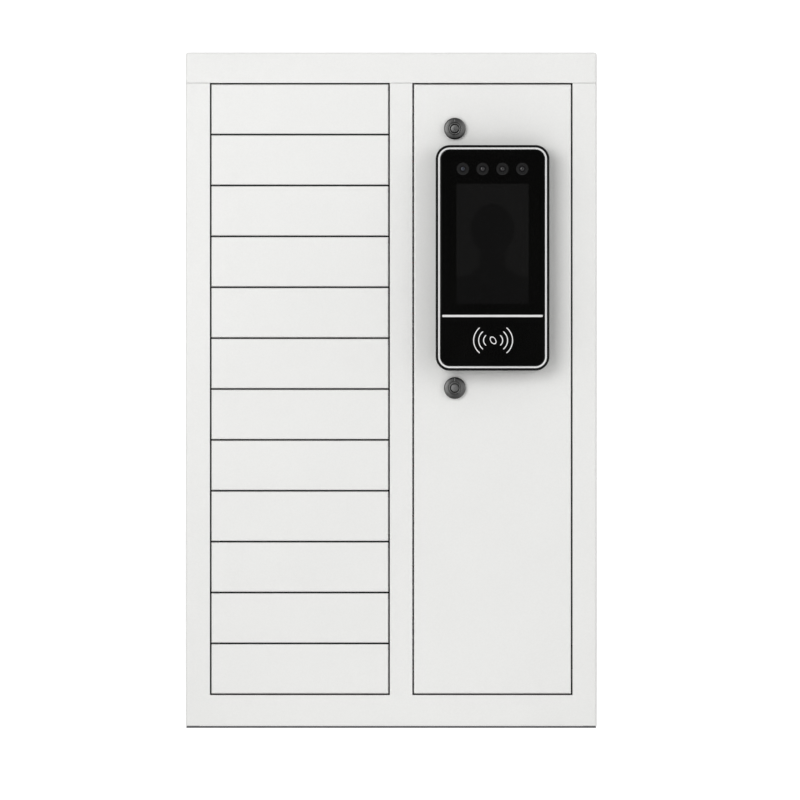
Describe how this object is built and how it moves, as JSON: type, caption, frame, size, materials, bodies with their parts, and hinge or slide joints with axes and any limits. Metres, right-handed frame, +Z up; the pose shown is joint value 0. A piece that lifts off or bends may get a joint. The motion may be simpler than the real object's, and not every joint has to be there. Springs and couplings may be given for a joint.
{
  "type": "parcel locker",
  "caption": "Compact white steel parcel locker: a column of small hinged compartments beside a tall control door with a face and card terminal and two tubular cam locks.",
  "frame": {"origin": "middle of the base's underside, half way between the terminal's face and the back panel", "axes": "+X to the right seen from the front, +Y towards the back, +Z up; the front faces -Y"},
  "size_m": [0.37, 0.224, 0.608],
  "materials": {
    "cabinet_paint": "off-white powder coat, satin, faint orange peel",
    "door_paint": "off-white powder coat, satin",
    "zinc_steel": "zinc-plated steel, satin",
    "gunmetal": "dark nickel, satin",
    "rubber": "dark grey moulded rubber, matt",
    "black_plastic": "black moulded plastic, fine texture",
    "silver_ring": "bright satin anodised",
    "black_glass": "black back-printed glass, gloss",
    "display": "unlit display, gloss",
    "camera_lens": "dark lens, gloss",
    "light_guide": "milky light guide",
    "circuit_board": "green solder mask, satin",
    "metal_casing": "galvanised sheet, satin",
    "inlet_plastic": "black moulded plastic"
  },
  "bodies": {
    "cabinet": {"front_frame": "cabinet_paint", "side_panel_left": "cabinet_paint", "side_panel_right": "cabinet_paint", "back_panel": "cabinet_paint", "base_deck": "cabinet_paint", "base_trim": "rubber", "top_cover": "cabinet_paint", "centre_partition": "cabinet_paint", "shelf_01": "cabinet_paint", "shelf_02": "cabinet_paint", "shelf_03": "cabinet_paint", "shelf_04": "cabinet_paint", "shelf_05": "cabinet_paint", "shelf_06": "cabinet_paint", "shelf_07": "cabinet_paint", "shelf_08": "cabinet_paint", "shelf_09": "cabinet_paint", "shelf_10": "cabinet_paint", "shelf_11": "cabinet_paint", "shelf_12": "cabinet_paint", "lock_01": "zinc_steel", "lock_02": "zinc_steel", "lock_03": "zinc_steel", "lock_04": "zinc_steel", "lock_05": "zinc_steel", "lock_06": "zinc_steel", "lock_07": "zinc_steel", "lock_08": "zinc_steel", "lock_09": "zinc_steel", "lock_10": "zinc_steel", "lock_11": "zinc_steel", "lock_12": "zinc_steel", "door_hinge_strip": "zinc_steel", "bay_hinge_strip": "zinc_steel", "control_board": "circuit_board", "power_supply": "metal_casing", "power_inlet": "inlet_plastic"},
    "door_01_leaf": {"door_01": "door_paint"},
    "door_02_leaf": {"door_02": "door_paint"},
    "door_03_leaf": {"door_03": "door_paint"},
    "door_04_leaf": {"door_04": "door_paint"},
    "door_05_leaf": {"door_05": "door_paint"},
    "door_06_leaf": {"door_06": "door_paint"},
    "door_07_leaf": {"door_07": "door_paint"},
    "door_08_leaf": {"door_08": "door_paint"},
    "door_09_leaf": {"door_09": "door_paint"},
    "door_10_leaf": {"door_10": "door_paint"},
    "door_11_leaf": {"door_11": "door_paint"},
    "door_12_leaf": {"door_12": "door_paint"},
    "control_door": {"bay_door": "door_paint", "terminal_housing": "black_plastic", "terminal_ring": "silver_ring", "terminal_glass": "black_glass", "terminal_display": "display", "terminal_cameras": "camera_lens", "terminal_light_bar": "light_guide", "cam_lock_upper": "gunmetal", "cam_lock_lower": "gunmetal"},
    "upper_cam": {"lock_cam_upper": "gunmetal"},
    "lower_cam": {"lock_cam_lower": "gunmetal"}
  },
  "joints": [
    {"name": "door_01_hinge", "type": "hinge", "parent": "cabinet", "child": "door_01_leaf", "pos_m": [-0.1578, -0.084, 0.557], "axis": [0, 0, -1], "range_deg": [0, 100]},
    {"name": "door_02_hinge", "type": "hinge", "parent": "cabinet", "child": "door_02_leaf", "pos_m": [-0.1578, -0.084, 0.5112], "axis": [0, 0, -1], "range_deg": [0, 100]},
    {"name": "door_03_hinge", "type": "hinge", "parent": "cabinet", "child": "door_03_leaf", "pos_m": [-0.1578, -0.084, 0.4654], "axis": [0, 0, -1], "range_deg": [0, 100]},
    {"name": "door_04_hinge", "type": "hinge", "parent": "cabinet", "child": "door_04_leaf", "pos_m": [-0.1578, -0.084, 0.4196], "axis": [0, 0, -1], "range_deg": [0, 100]},
    {"name": "door_05_hinge", "type": "hinge", "parent": "cabinet", "child": "door_05_leaf", "pos_m": [-0.1578, -0.084, 0.3738], "axis": [0, 0, -1], "range_deg": [0, 100]},
    {"name": "door_06_hinge", "type": "hinge", "parent": "cabinet", "child": "door_06_leaf", "pos_m": [-0.1578, -0.084, 0.328], "axis": [0, 0, -1], "range_deg": [0, 100]},
    {"name": "door_07_hinge", "type": "hinge", "parent": "cabinet", "child": "door_07_leaf", "pos_m": [-0.1578, -0.084, 0.2822], "axis": [0, 0, -1], "range_deg": [0, 100]},
    {"name": "door_08_hinge", "type": "hinge", "parent": "cabinet", "child": "door_08_leaf", "pos_m": [-0.1578, -0.084, 0.2364], "axis": [0, 0, -1], "range_deg": [0, 100]},
    {"name": "door_09_hinge", "type": "hinge", "parent": "cabinet", "child": "door_09_leaf", "pos_m": [-0.1578, -0.084, 0.1906], "axis": [0, 0, -1], "range_deg": [0, 100]},
    {"name": "door_10_hinge", "type": "hinge", "parent": "cabinet", "child": "door_10_leaf", "pos_m": [-0.1578, -0.084, 0.1448], "axis": [0, 0, -1], "range_deg": [0, 100]},
    {"name": "door_11_hinge", "type": "hinge", "parent": "cabinet", "child": "door_11_leaf", "pos_m": [-0.1578, -0.084, 0.099], "axis": [0, 0, -1], "range_deg": [0, 100]},
    {"name": "door_12_hinge", "type": "hinge", "parent": "cabinet", "child": "door_12_leaf", "pos_m": [-0.1578, -0.084, 0.0532], "axis": [0, 0, -1], "range_deg": [0, 100]},
    {"name": "control_door_hinge", "type": "hinge", "parent": "cabinet", "child": "control_door", "pos_m": [0.1578, -0.084, 0.3051], "axis": [0, 0, 1], "range_deg": [0, 100]},
    {"name": "upper_cam_turn", "type": "hinge", "parent": "control_door", "child": "upper_cam", "pos_m": [0.0572, -0.088, 0.5394], "axis": [0, 1, 0], "range_deg": [0, 90]},
    {"name": "lower_cam_turn", "type": "hinge", "parent": "control_door", "child": "lower_cam", "pos_m": [0.0572, -0.088, 0.306], "axis": [0, 1, 0], "range_deg": [0, 90]}
  ]
}
